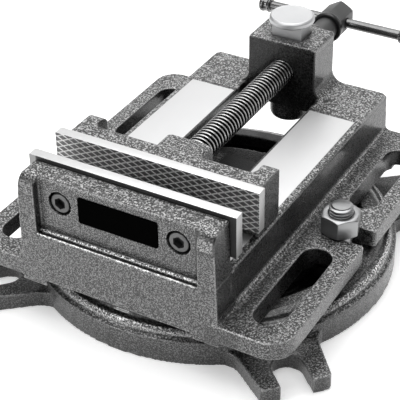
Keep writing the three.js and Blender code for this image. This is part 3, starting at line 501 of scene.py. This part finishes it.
def hammertone():
    """Grey hammertone enamel: fine flecks on walls, worm-like ones on faces that look up, whose
    lighter tone is painted light from above; painted highlights along outer edges; painted
    shade in corners, in hollows and under parts; and the painted light and shade of the boxes
    and rings listed above."""
    paint = Shader("hammertone_paint")
    flecks = paint.noise(FLECK_SCALE, detail=1.0, distortion=0.7)
    fine = paint.noise(FINE_SCALE, detail=1.5, distortion=0.4)
    # faces that look up take the lighter ramp, painted light from above; the fleck pattern itself is
    # the enamel's own
    colour = paint.mix(paint.facing_up(), paint.ramp(fine, WALL_RAMP),
                       paint.ramp(flecks, FLECK_RAMP))
    edges = paint.add("ShaderNodeNewGeometry").outputs["Pointiness"]
    # painted highlight along outer edges, where pointiness is high
    edge_highlight = paint.scale(edges, 0.0, 0.9, *EDGE_HIGHLIGHT_POINTINESS)
    colour = paint.mix(paint.math("MULTIPLY", edge_highlight, paint.scale(flecks, 0.4, 1.0, 0.4, 0.6)),
                       colour, EDGE_HIGHLIGHT_GREY)
    # painted shade in creases and corners, and from ambient occlusion in hollows and under parts
    corners = paint.scale(edges, 0.35, 1.0, *CORNER_POINTINESS)
    occlusion_shade = paint.add("ShaderNodeAmbientOcclusion", samples=6)
    occlusion_shade.inputs["Distance"].default_value = SHADE_REACH
    gain = paint.math("MULTIPLY", corners,
                      paint.scale(occlusion_shade.outputs["AO"], 0.25, 1.0, 0.25, 0.8))
    x, y, z = paint.split(paint.place)
    # each box scales the colour by its gain of painted shade or painted highlight
    for low, high, soft, amount in LIGHT_AND_SHADE_BOXES:
        gain = paint.math("MULTIPLY", gain,
                          paint.region_gain(zip((x, y, z), low, high), soft, amount))
    radius = paint.distance(x, y)
    # rings of painted shade and painted highlight on the base
    for inner, outer, low, high, amount in LIGHT_AND_SHADE_RINGS:
        limits = ((radius, inner, outer), (z, low, high))
        gain = paint.math("MULTIPLY", gain, paint.region_gain(limits, RING_SOFT, amount))
    # the enamel's colour times the gains of painted light and shade
    shaded_colour = paint.add("ShaderNodeVectorMath", operation="SCALE")
    paint.join(colour, shaded_colour.inputs[0])
    paint.join(gain, shaded_colour.inputs["Scale"])
    paint.set(Base_Color=shaded_colour.outputs["Vector"], Metallic=0.0,
              Roughness=paint.scale(flecks, 0.42, 0.24, 0.4, 0.6), Specular_IOR_Level=0.38,
              Coat_Weight=0.3, Coat_Roughness=0.12)
    paint.bump(flecks, 0.3 * MM, 0.3)
    return paint.material


def ground_steel(name, stretch, grey, rough):
    """Surface-ground steel: fine parallel scratches along the long way of the stretch."""
    steel = Shader(name)
    lines = steel.noise(1.0, detail=3.0, rough=0.65, stretch=stretch)
    patches = steel.noise(30, 2.0)
    low = grey * 0.95
    steel.set(Base_Color=steel.mix(patches, (low, low, low * 1.005), (grey, grey, grey * 1.005)),
              Metallic=0.7, Roughness=steel.scale(lines, rough - 0.03, rough + 0.05))
    steel.bump(lines, 0.01 * MM, 0.2)
    return steel.material


def serrated_steel(name, grip_side):
    """A jaw plate: bright groove flanks round dull diamonds on the gripping face, painted shade
    on the back where it stands over the casting and on the end that faces +X."""
    steel = Shader(name)
    place_x, _, place_z = steel.split(steel.place)
    x = steel.math("SUBTRACT", place_x, SERRATION_X)
    z = steel.math("SUBTRACT", place_z, SERRATION_Z)
    grooves = []
    for sign in (-1, 1):
        across = steel.math("ADD", steel.math("MULTIPLY", z, math.cos(SERRATION_ANGLE)),
                            steel.math("MULTIPLY", x, sign * math.sin(SERRATION_ANGLE)))
        turns = steel.math("FRACT", steel.math("ADD", steel.math(
            "DIVIDE", across, SERRATION_PITCH), WHOLE_TURNS + 0.5))
        off = steel.math("ABSOLUTE", steel.math("SUBTRACT", turns, 0.5))
        grooves.append(steel.scale(off, 1.0, 0.0, 0.05, 0.15))
    groove = steel.math("MAXIMUM", *grooves)
    normal_x, normal_y, _ = steel.split(steel.add("ShaderNodeNewGeometry").outputs["Normal"])
    toward = steel.math("MULTIPLY", normal_y, grip_side)
    face = steel.scale(toward, 0.0, 1.0, 0.5, 0.7)
    back = steel.scale(toward, 1.0, 0.0, -0.8, -0.6)
    # painted shade: the ends that face +X are darker
    ends = steel.scale(normal_x, 0.0, 1.0, 0.5, 0.8)
    grain = steel.noise(700, 2.0)
    pattern = steel.mix(groove, steel.mix(grain, *DIAMOND_GREYS), GROOVE_GREY)
    # painted shade on the back where the plate stands over the casting
    dark = steel.scale(place_x, *BACK_GREYS, BACK_SHADE_FROM, BACK_SHADE_FROM + MM)
    plain = steel.mix(ends, steel.mix(grain, *PLAIN_GREYS), END_GREY)
    plain = steel.mix(back, plain, dark)
    steel.set(Base_Color=steel.mix(face, plain, pattern), Metallic=0.7,
              Roughness=steel.scale(groove, 0.42, 0.36))
    steel.bump(grain, 0.01 * MM, 0.2)
    return steel.material


def zinc_plate(name="zinc_steel", grey=0.36, rough=0.36):
    zinc = Shader(name)
    blotch = zinc.noise(90, 3.0, 0.6)
    zinc.set(Base_Color=zinc.mix(blotch, (grey * 0.85, grey * 0.86, grey * 0.88), grey),
             Metallic=1.0, Roughness=zinc.scale(blotch, rough - 0.06, rough + 0.1))
    zinc.bump(zinc.noise(1400, 2.0), 0.03 * MM, 0.3)
    return zinc.material


def black_oxide(name="black_oxide", grey=0.02, rough=0.3, metallic=0.6):
    oxide = Shader(name)
    blotch = oxide.noise(160, 3.0, 0.6)
    oxide.set(Base_Color=oxide.mix(blotch, grey * 0.6, grey * 1.6),
              Metallic=metallic, Roughness=oxide.scale(blotch, rough - 0.08, rough + 0.12),
              Coat_Weight=0.3, Coat_Roughness=0.15)
    oxide.bump(oxide.noise(1100, 2.0), 0.03 * MM, 0.35)
    return oxide.material


def worn_thread():
    """Blackened thread whose crests are rubbed bright by the half nut."""
    steel = Shader("thread_black")
    x, _, z = steel.split(steel.place)
    radius = steel.distance(x, steel.math("SUBTRACT", z, SCREW_Z))
    crest = steel.scale(radius, 0.0, 1.0, *SCREW_CREST)
    grain = steel.noise(300, 2.0)
    steel.set(Base_Color=steel.mix(crest, 0.008, 0.56), Metallic=0.85,
              Roughness=steel.scale(grain, 0.22, 0.34, 0.3, 0.7))
    steel.bump(grain, 0.01 * MM, 0.2)
    return steel.material


def milled_steel(name="dark_steel", grey=0.3, rough=0.42):
    steel = Shader(name)
    blotch = steel.noise(120, 3.0, 0.6)
    steel.set(Base_Color=steel.mix(blotch, grey * 0.7, grey), Metallic=0.9,
              Roughness=steel.scale(blotch, rough - 0.08, rough + 0.1))
    steel.bump(steel.noise(1.0, rough=0.6, stretch=(900, 60, 900)), 0.03 * MM, 0.4)
    return steel.material


def satin_black():
    black = Shader("black_plate")
    grain = black.noise(900, 2.0)
    black.set(Base_Color=black.mix(grain, 0.0008, 0.0016), Metallic=0.0,
              Roughness=black.scale(grain, 0.5, 0.62), Specular_IOR_Level=0.02, IOR=1.1)
    black.bump(grain, 0.02 * MM, 0.3)
    return black.material


paint = hammertone()
ways_steel = ground_steel("ways_steel", (900, 40, 900), 0.66, 0.42)
button_zinc = zinc_plate("button_zinc", 0.61, 0.5)
zinc = zinc_plate()
oxide = black_oxide()
bar_chrome = black_oxide("bar_black", 0.13, 0.2, 0.9)
hub_steel = milled_steel("hub_grey", 0.13, 0.5)
cap_steel = black_oxide("cap_grey", 0.09, 0.35, 0.7)
dark_steel = milled_steel()
thread_black = worn_thread()
label_black = satin_black()


def dress(piece, material, slot_name, body, *replaced):
    """Gives a new piece its material, body and the CAD nodes it stands for, which it hides; the
    record slot name is not used.
    """
    piece.data.materials.clear()
    piece.data.materials.append(material)
    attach(piece, body)
    if replaced:
        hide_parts(*replaced)


# ---------------------------------------------------------------- castings
def cast(node, voxel, turns):
    """Gives a CAD casting the soft edges and fillets of a sand mould."""
    casting = nodes[node]
    modified(casting, "REMESH", mode="VOXEL", voxel_size=voxel, use_smooth_shade=True)
    modified(casting, "SMOOTH", factor=0.5, iterations=turns)
    for slot_item in casting.material_slots:
        slot_item.material = paint


def machined_ways():
    """The two ground ways on top of the rails."""
    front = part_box("fixed_jaw_plate")[0].y - WAY_LAP
    for side, sign in SIDES:
        left, right = sorted((sign * WAY_INNER, sign * WAY_OUTER))
        way = slab(f"way_{side}", Vector((left, front, WAY_TOP - WAY_THICKNESS)),
                   Vector((right, WAY_REAR, WAY_TOP)), WAY_BEVEL)
        dress(way, ways_steel, "ground_steel", "vise_body")


# ---------------------------------------------------------------- jaw plates
def serration(x, z):
    """Depth of the crossed V grooves at a point of the gripping face."""
    depth = 0.0
    x, z = x - SERRATION_X, z - SERRATION_Z
    for sign in (-1, 1):
        across = z * math.cos(SERRATION_ANGLE) + sign * x * math.sin(SERRATION_ANGLE)
        off = abs((across / SERRATION_PITCH + 0.5) % 1.0 - 0.5) * SERRATION_PITCH
        depth = max(depth, SERRATION_DEPTH * max(0.0, 1 - off / SERRATION_HALF))
    return depth


def jaw_plate(node, grip_side):
    """A ground plate whose gripping face carries the crossed serration."""
    low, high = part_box(node)
    plate = slab(f"{node}_ground", low, high, PLATE_BEVEL, 2)
    columns = round((high.x - low.x - 2 * PLATE_BEVEL) / SERRATION_STEP)
    rows = round((high.z - low.z - 2 * PLATE_BEVEL) / SERRATION_STEP)
    face_y = high.y if grip_side > 0 else low.y
    shape = bmesh.new()
    shape.from_mesh(plate.data)
    flat = max(shape.faces, key=lambda f: f.normal.y * grip_side * f.calc_area())
    corners = sorted(flat.verts, key=lambda v: (v.co.x, v.co.z))
    x0, x1 = corners[0].co.x, corners[-1].co.x
    z0, z1 = min(v.co.z for v in corners), max(v.co.z for v in corners)
    bmesh.ops.delete(shape, geom=[flat], context="FACES_ONLY")
    grid = []
    for i in range(rows + 1):
        z = z0 + (z1 - z0) * i / rows
        line = []
        for j in range(columns + 1):
            x = x0 + (x1 - x0) * j / columns
            edge = i in (0, rows) or j in (0, columns)
            depth = 0.0 if edge else serration(x, z)
            line.append(shape.verts.new((x, face_y - grip_side * depth, z)))
        grid.append(line)
    for below, above in zip(grid, grid[1:]):
        for j in range(columns):
            shape.faces.new((below[j], below[j + 1], above[j + 1], above[j]))
    bmesh.ops.remove_doubles(shape, verts=shape.verts, dist=0.001 * MM)
    outward(shape)
    shape.to_mesh(plate.data)
    shape.free()
    smooth(plate, PLATE_SMOOTH)
    return plate


# ---------------------------------------------------------------- screws and threads
def ramp_between(value, start, end):
    t = min(1.0, max(0.0, (value - start) / (end - start)))
    return t * t * (3 - 2 * t)


def tooth(phase):
    """Height 0 to 1 of a trapezoid thread with eased corners, for a phase in turns."""
    p = phase % 1.0
    return ramp_between(p, 0.0, TOOTH_RISE) * (1 - ramp_between(p, TOOTH_FALL, TOOTH_END))


def threaded(name, axis, centre, low, high, major, minor, pitch, run_out, steps=56, cap=0.0):
    """A threaded rod; the thread fades over run_out at each end, cap chamfers the high end."""
    rows = round((high - low) / pitch * ROWS_PER_TURN)

    def at(row, angle):
        along = low + (high - low) * row / rows
        fade = min(ramp_between(along, low, low + run_out),
                   1 - ramp_between(along, high - run_out, high))
        height = tooth(along / pitch - angle / (2 * math.pi)) * fade
        radius = minor + (major - minor) * height
        if cap:
            radius -= max(0.0, (along - (high - cap)) / cap) * 0.6 * cap
        return radius, along

    return rings(name, axis, centre, range(rows + 1), steps, at, TURNED_SMOOTH)


def lead_screw():
    low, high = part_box("lead_screw")
    centre = Vector((0, 0, SCREW_Z))
    thread_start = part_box("thrust_washer")[1].y + GAP
    thread = threaded("lead_screw_thread", "Y", centre, thread_start, SCREW_THREAD_END,
                      SCREW_MAJOR, SCREW_MINOR, SCREW_PITCH, SCREW_RUN_OUT)
    dress(thread, thread_black, "black_oxide", "screw", "lead_screw")
    journal = lathe("lead_screw_journal", "Y", centre, rounded([
        (JOURNAL_RADIUS - 0.8 * MM, low.y), (JOURNAL_RADIUS, low.y + 0.8 * MM),
        (JOURNAL_RADIUS, GROOVE_FRONT), (GROOVE_RADIUS, GROOVE_FRONT),
        (GROOVE_RADIUS, GROOVE_REAR), (JOURNAL_RADIUS, GROOVE_REAR),
        (JOURNAL_RADIUS, thread_start), (SCREW_MINOR, thread_start + 0.2 * MM)], 0.2 * MM),
        steps=40)
    dress(journal, dark_steel, "black_oxide", "screw", "lead_screw")
    head_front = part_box("stop_collar")[1].y + GAP
    shank = lathe("lead_screw_shank", "Y", centre, [
        (6.4 * MM, SCREW_THREAD_END - 0.2 * MM), (SHANK_RADIUS, SCREW_THREAD_END + 1 * MM),
        (SHANK_RADIUS, head_front + 1 * MM)], steps=48)
    dress(shank, hub_steel, "black_oxide", "screw", "lead_screw")
    head = hex_body("lead_screw_head", "Y", centre, HEAD_FLATS, head_front, high.y,
                    HEAD_FACE_RADIUS)
    hole = lathe("hole", "X", middle("tommy_bar"), [
        (BAR_HOLE_RADIUS, -BAR_HOLE_HALF), (BAR_HOLE_RADIUS, BAR_HOLE_HALF)], steps=40)
    cut(head, hole)
    break_edges(head, 0.35 * MM, 35)
    settle(head)
    smooth(head, BEVEL_SMOOTH)
    dress(head, hub_steel, "black_oxide", "screw", "lead_screw")


def socket_head(node, direction, body):
    """A socket head cap screw with a knurled rim and a hexagon socket."""
    low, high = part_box(node)
    centre = Vector(((low.x + high.x) / 2, 0, (low.z + high.z) / 2))
    face, end = (low.y, high.y) if direction > 0 else (high.y, low.y)
    radius, length = (high.x - low.x) / 2, abs(end - face)

    def at(row, angle):
        r, along = row
        if r == radius:
            r -= KNURL_DEPTH * (0.5 + 0.5 * math.cos(angle * CAP_STEPS / 2))
        return r, face + direction * along

    profile = [(2.9 * MM, 0.0), (radius - 0.9 * MM, 0.0), (radius - 0.35 * MM, 0.25 * MM),
               (radius - 0.02 * MM, 0.9 * MM), (radius, 1.1 * MM),
               (radius, CAP_HEIGHT - 0.3 * MM), (radius - 0.3 * MM, CAP_HEIGHT),
               (CAP_SHANK_RADIUS, CAP_HEIGHT), (CAP_SHANK_RADIUS, length - 0.6 * MM),
               (CAP_SHANK_RADIUS - 0.6 * MM, length)]
    head = rings(node + "_knurled", "Y", centre, profile, CAP_STEPS * 2, at,
                 CAP_SMOOTH)
    socket_ends = sorted((face - direction * MM, face + direction * SOCKET_DEPTH))
    socket = hex_body("socket", "Y", centre, SOCKET_FLATS, *socket_ends, SOCKET_FACE_RADIUS,
                      chamfered=False)
    cut(head, socket)
    smooth(head, CAP_SMOOTH)
    dress(head, cap_steel, "black_oxide", body, node)


def clamp_set(side):
    """A clamp bolt with a real thread above its nut, and the chamfered nut."""
    low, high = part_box(f"clamp_bolt_{side}")
    nut_low, nut_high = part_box(f"clamp_nut_{side}")
    centre = Vector(((low.x + high.x) / 2, (low.y + high.y) / 2, 0))
    stud = threaded(f"clamp_stud_{side}", "Z", centre, nut_low.z - 2 * MM, high.z,
                    STUD_MAJOR, STUD_MINOR, STUD_PITCH, STUD_RUN_OUT, 48, STUD_CHAMFER)
    shank = lathe(f"clamp_shank_{side}", "Z", centre, [
        (STUD_MAJOR, low.z + 7 * MM), (STUD_MAJOR, nut_low.z - 1.5 * MM),
        (6 * MM, nut_low.z - 1 * MM)], steps=40)
    head = slab(f"clamp_head_{side}", low, Vector((high.x, high.y, low.z + BOLT_HEAD_HEIGHT)),
                0.8 * MM)
    for piece in (stud, shank, head):
        dress(piece, zinc, "zinc_steel", "vise_body", f"clamp_bolt_{side}")
    nut = hex_body(f"clamp_hex_{side}", "Z", centre, NUT_FLATS, nut_low.z, nut_high.z,
                   NUT_FACE_RADIUS, NUT_TURN[side], NUT_BORE)
    break_edges(nut, 0.3 * MM, 28)
    settle(nut)
    smooth(nut, BEVEL_SMOOTH)
    dress(nut, zinc, "zinc_steel", f"nut_{side}", f"clamp_nut_{side}")


# ---------------------------------------------------------------- handle and release
def handle():
    low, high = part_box("tommy_bar")
    centre = middle("tommy_bar")
    radius = (high.z - low.z) / 2
    end = (high.x - low.x) / 2
    bar = lathe("tommy_bar_turned", "X", centre, rounded([
        (radius - 0.6 * MM, -end), (radius, -end + 0.6 * MM), (radius, end - 0.6 * MM),
        (radius - 0.6 * MM, end)], 0.3 * MM), steps=48)
    dress(bar, bar_chrome, "black_oxide", "handle", "tommy_bar")
    for side, sign in SIDES:
        profile = rounded([(radius + GAP, KNOB_INNER)] + [
            (r * MM, KNOB_INNER + out * MM) for r, out in KNOB_PROFILE], 0.45 * MM)
        knob = lathe(f"bar_knob_{side}_turned", "X", centre,
                     [(r, sign * a) for r, a in profile], 48, TURNED_SMOOTH)
        dress(knob, bar_chrome, "black_oxide", "handle", f"bar_knob_{side}")


def release():
    low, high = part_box("release_button")
    nut_low, nut_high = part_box("half_nut")
    centre = middle("half_nut")
    centre.z = 0
    head_low = nut_high.z + GAP
    radius = (high.x - low.x) / 2
    button = lathe("release_button_turned", "Z", centre, rounded([
        (4 * MM, low.z), (4 * MM, head_low), (radius - 0.7 * MM, head_low),
        (radius, head_low + 0.8 * MM), (radius, high.z - 1.2 * MM),
        (radius - 1.3 * MM, high.z), (radius - 2.6 * MM, high.z - 0.2 * MM),
        (0.5 * MM, high.z - 0.3 * MM)], 0.5 * MM, 5), 96, TURNED_SMOOTH)
    dress(button, button_zinc, "zinc_steel", "release", "release_button")
    body = node_copy("half_nut_milled", "half_nut")
    for vertex in body.data.vertices:
        if vertex.co.z < nut_low.z + 0.1 * MM:
            vertex.co.z += HALF_NUT_ROOM
    break_edges(body, 0.4 * MM, 40)
    settle(body)
    smooth(body, BEVEL_SMOOTH)
    dress(body, button_zinc, "zinc_steel", "release", "half_nut")


def spring():
    """The coil under the half nut, with closed ends."""
    low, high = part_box("release_spring")
    centre = middle("release_spring")
    radius = (high.x - low.x) / 2 - WIRE_RADIUS
    shape = bmesh.new()
    grid = []
    for k in range(COIL_STEPS + 1):
        t = k / COIL_STEPS
        rise = 0.35 * ramp_between(t, COIL_CLOSED, 1 - COIL_CLOSED) + 0.65 * t
        angle = 2 * math.pi * COIL_TURNS * t
        z = low.z + WIRE_RADIUS + (high.z - low.z - 2 * WIRE_RADIUS) * rise
        out = Vector((math.cos(angle), math.sin(angle), 0))
        spot = Vector((centre.x, centre.y, z)) + out * radius
        section = []
        for s in range(COIL_SIDES):
            around = 2 * math.pi * s / COIL_SIDES
            section.append(shape.verts.new(spot + out * WIRE_RADIUS * math.cos(around)
                                           + Vector((0, 0, WIRE_RADIUS * math.sin(around)))))
        grid.append(section)
    for ring, after in zip(grid, grid[1:]):
        for s in range(COIL_SIDES):
            j = (s + 1) % COIL_SIDES
            shape.faces.new((ring[s], ring[j], after[j], after[s]))
    shape.faces.new(grid[0])
    shape.faces.new(list(reversed(grid[-1])))
    coil = from_bmesh("release_coil", shape, TURNED_SMOOTH)
    dress(coil, zinc, "zinc_steel", "vise_body", "release_spring")
    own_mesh(coil)


def collar_and_washer():
    centre = Vector((0, 0, SCREW_Z))
    for node, material, slot_name, bore in (
            ("stop_collar", oxide, "black_oxide", 7.9 * MM),
            ("thrust_washer", dark_steel, "dark_steel", 5.8 * MM)):
        low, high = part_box(node)
        outer = (high.x - low.x) / 2
        edge = min(0.7 * MM, (high.y - low.y) / 4)
        ring = lathe(f"{node}_turned", "Y", centre, [
            (bore, low.y + 0.2 * MM), (bore + 0.2 * MM, low.y), (outer - edge, low.y),
            (outer - edge * 0.3, low.y + edge * 0.3), (outer, low.y + edge),
            (outer, high.y - edge), (outer - edge * 0.3, high.y - edge * 0.3),
            (outer - edge, high.y), (bore + 0.2 * MM, high.y), (bore, high.y - 0.2 * MM)],
            64, TURNED_SMOOTH, closed=True)
        dress(ring, material, slot_name, "screw", node)


def plain_nodes():
    """CAD nodes whose shape stays: they get their material and a small edge break."""
    kept = {"keeper_plate": dark_steel, "name_plate": label_black}
    for side, _ in SIDES:
        kept[f"keeper_bolt_{side}"] = zinc
        kept[f"retaining_pin_{side}"] = dark_steel
    for name, material in kept.items():
        for slot_item in nodes[name].material_slots:
            slot_item.material = material
        break_edges(nodes[name], 0.2 * MM, 40)


# ---------------------------------------------------------------- stage
def stage():
    """A pale floor that bends up behind the vise."""
    profile = [(-STAGE_FRONT, 0.0), (STAGE_BACK, 0.0)]
    for k in range(1, STAGE_BEND_STEPS + 1):
        a = math.pi / 2 * k / STAGE_BEND_STEPS
        profile.append((STAGE_BACK + STAGE_BEND * math.sin(a), STAGE_BEND * (1 - math.cos(a))))
    profile.append((STAGE_BACK + STAGE_BEND, STAGE_RISE))
    shape = bmesh.new()
    left, right = ([shape.verts.new((x, y, z - FLOOR_DROP)) for y, z in profile]
                   for x in (-STAGE_HALF_WIDTH, STAGE_HALF_WIDTH))
    for k in range(len(profile) - 1):
        shape.faces.new((left[k], right[k], right[k + 1], left[k + 1]))
    mesh = bpy.data.meshes.new("backdrop")
    shape.to_mesh(mesh)
    shape.free()
    floor = smooth(link("backdrop", mesh))
    paper = Shader("backdrop_paper")
    paper.set(Base_Color=(0.94, 0.94, 0.94), Roughness=0.9, Emission_Color=(1, 1, 1),
              Emission_Strength=0.35, Specular_IOR_Level=0.1)
    mesh.materials.append(paper.material)


def area_light(name, place, size, power):
    data = bpy.data.lights.new(name, "AREA")
    data.shape = "RECTANGLE"
    data.size, data.size_y = size
    data.energy = power
    lamp = bpy.data.objects.new(name, data)
    bpy.context.scene.collection.objects.link(lamp)
    lamp.location = place
    lamp.rotation_mode = "QUATERNION"
    lamp.rotation_quaternion = (Vector(LIGHT_TARGET) - Vector(place)).to_track_quat("-Z", "Y")


def lights():
    world = bpy.data.worlds.new("studio")
    world.use_nodes = True
    background = world.node_tree.nodes["Background"]
    background.inputs["Color"].default_value = (1, 1, 1, 1)
    background.inputs["Strength"].default_value = WORLD_STRENGTH
    bpy.context.scene.world = world
    for light in LIGHTS:
        area_light(*light)


def camera():
    """The photograph's view: a long lens, front right, looking down at about 35 degrees."""
    azimuth, elevation, roll = (math.radians(d) for d in CAMERA_DEGREES)
    back = Vector((math.sin(azimuth) * math.cos(elevation),
                   -math.cos(azimuth) * math.cos(elevation), math.sin(elevation)))
    right = Vector((math.cos(azimuth), math.sin(azimuth), 0))
    up = back.cross(right)
    camera_x = right * math.cos(roll) + up * math.sin(roll)
    camera_y = up * math.cos(roll) - right * math.sin(roll)
    data = bpy.data.cameras.new("camera")
    data.lens = CAMERA_LENS
    data.sensor_width = CAMERA_FILM
    data.clip_start = CAMERA_NEAR
    eye = bpy.data.objects.new("camera", data)
    bpy.context.scene.collection.objects.link(eye)
    turn = Matrix((camera_x, camera_y, back)).transposed().to_4x4()
    eye.matrix_world = Matrix.Translation(CAMERA_PLACE) @ turn
    bpy.context.scene.camera = eye


camera()
for casting in CASTINGS:
    cast(*casting)
machined_ways()
dress(jaw_plate("fixed_jaw_plate", 1), serrated_steel("fixed_plate_steel", 1),
      "ground_steel", "vise_body", "fixed_jaw_plate")
dress(jaw_plate("moving_jaw_plate", -1), serrated_steel("moving_plate_steel", -1),
      "ground_steel", "moving_jaw", "moving_jaw_plate")
lead_screw()
for side, _ in SIDES:
    socket_head(f"fixed_jaw_screw_{side}", 1, "vise_body")
    socket_head(f"moving_jaw_screw_{side}", -1, "moving_jaw")
    clamp_set(side)
handle()
release()
spring()
collar_and_washer()
plain_nodes()
stage()
lights()
bpy.context.scene.view_settings.view_transform = "Standard"
